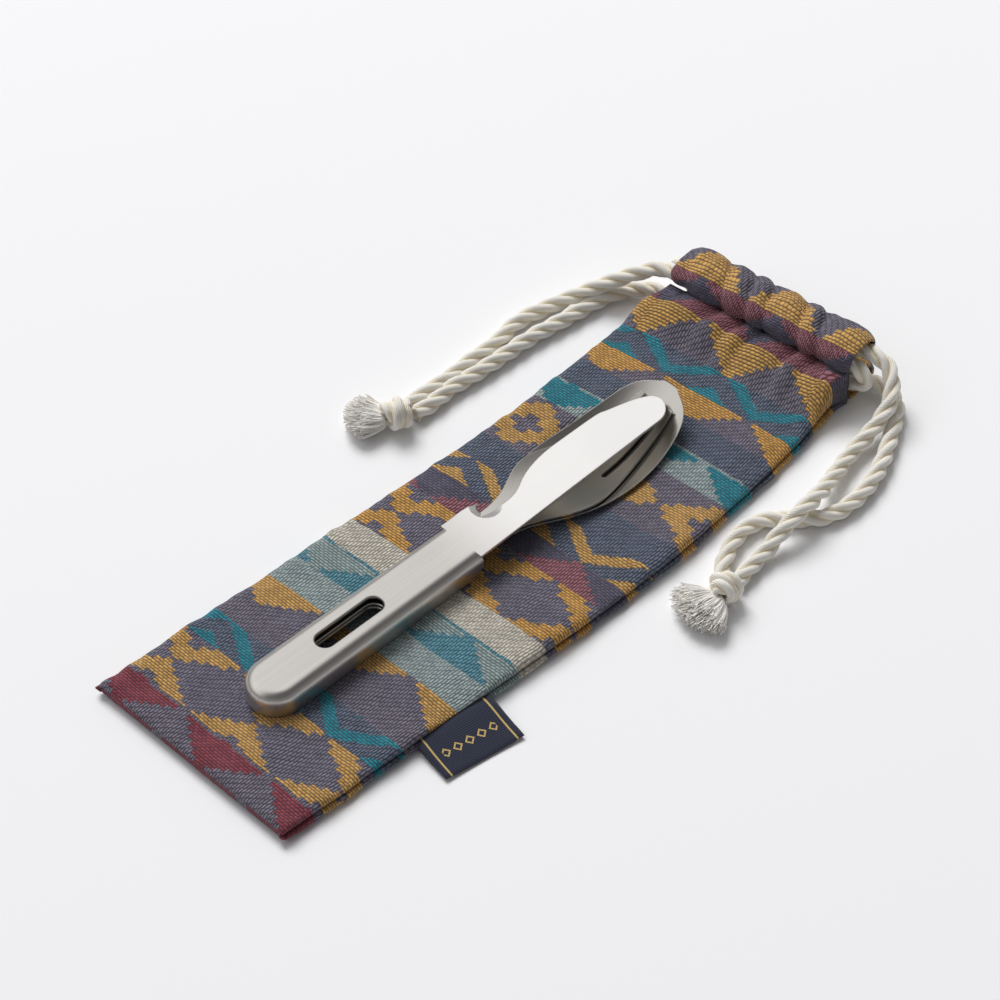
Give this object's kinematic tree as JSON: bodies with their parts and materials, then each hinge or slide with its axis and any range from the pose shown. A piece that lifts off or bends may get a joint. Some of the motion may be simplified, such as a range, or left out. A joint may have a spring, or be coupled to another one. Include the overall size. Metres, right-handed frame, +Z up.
{
  "type": "nesting picnic cutlery set with pouch",
  "caption": "Nesting knife, fork and spoon of pressed steel, stacked on a flat woven drawstring pouch with rope cords and a sewn label tab.",
  "frame": {"origin": "on the surface under the middle of the pouch, cutlery and label, cords left out", "axes": "+X from the handles' butts and the pouch's closed end to the bowls and the pouch's mouth, +Y away from the label's side, +Z up"},
  "size_m": [0.2676, 0.1514, 0.0198],
  "materials": {
    "steel": "brushed stainless steel",
    "woven_cloth": "jacquard woven cotton in mustard, slate, teal and brick",
    "label_cloth": "navy damask woven tab",
    "rope": "twisted natural cotton rope"
  },
  "bodies": {
    "pouch": {"pouch_front_panel": "woven_cloth", "pouch_back_panel": "woven_cloth", "casing_front": "woven_cloth", "casing_back": "woven_cloth", "label": "label_cloth"},
    "spoon": {"spoon": "steel"},
    "fork": {"fork": "steel"},
    "knife": {"knife": "steel"},
    "far_drawcord": {"cord_far": "rope", "knot_far": "rope", "tassel_far": "rope"},
    "near_drawcord": {"cord_near": "rope", "knot_near": "rope", "tassel_near": "rope"}
  },
  "joints": [
    {"name": "spoon_lift", "type": "slide", "parent": "pouch", "child": "spoon", "axis": [0, 0, 1], "range_m": [0, 0.04]},
    {"name": "fork_lift", "type": "slide", "parent": "spoon", "child": "fork", "axis": [0, 0, 1], "range_m": [0, 0.04]},
    {"name": "knife_lift", "type": "slide", "parent": "fork", "child": "knife", "axis": [0, 0, 1], "range_m": [0, 0.04]},
    {"name": "far_cord_pull", "type": "slide", "parent": "pouch", "child": "far_drawcord", "axis": [-0.1392, 0.9903, 0], "range_m": [0, 0.0035]},
    {"name": "near_cord_pull", "type": "slide", "parent": "pouch", "child": "near_drawcord", "axis": [0.1392, -0.9903, 0], "range_m": [0, 0.0035]}
  ]
}
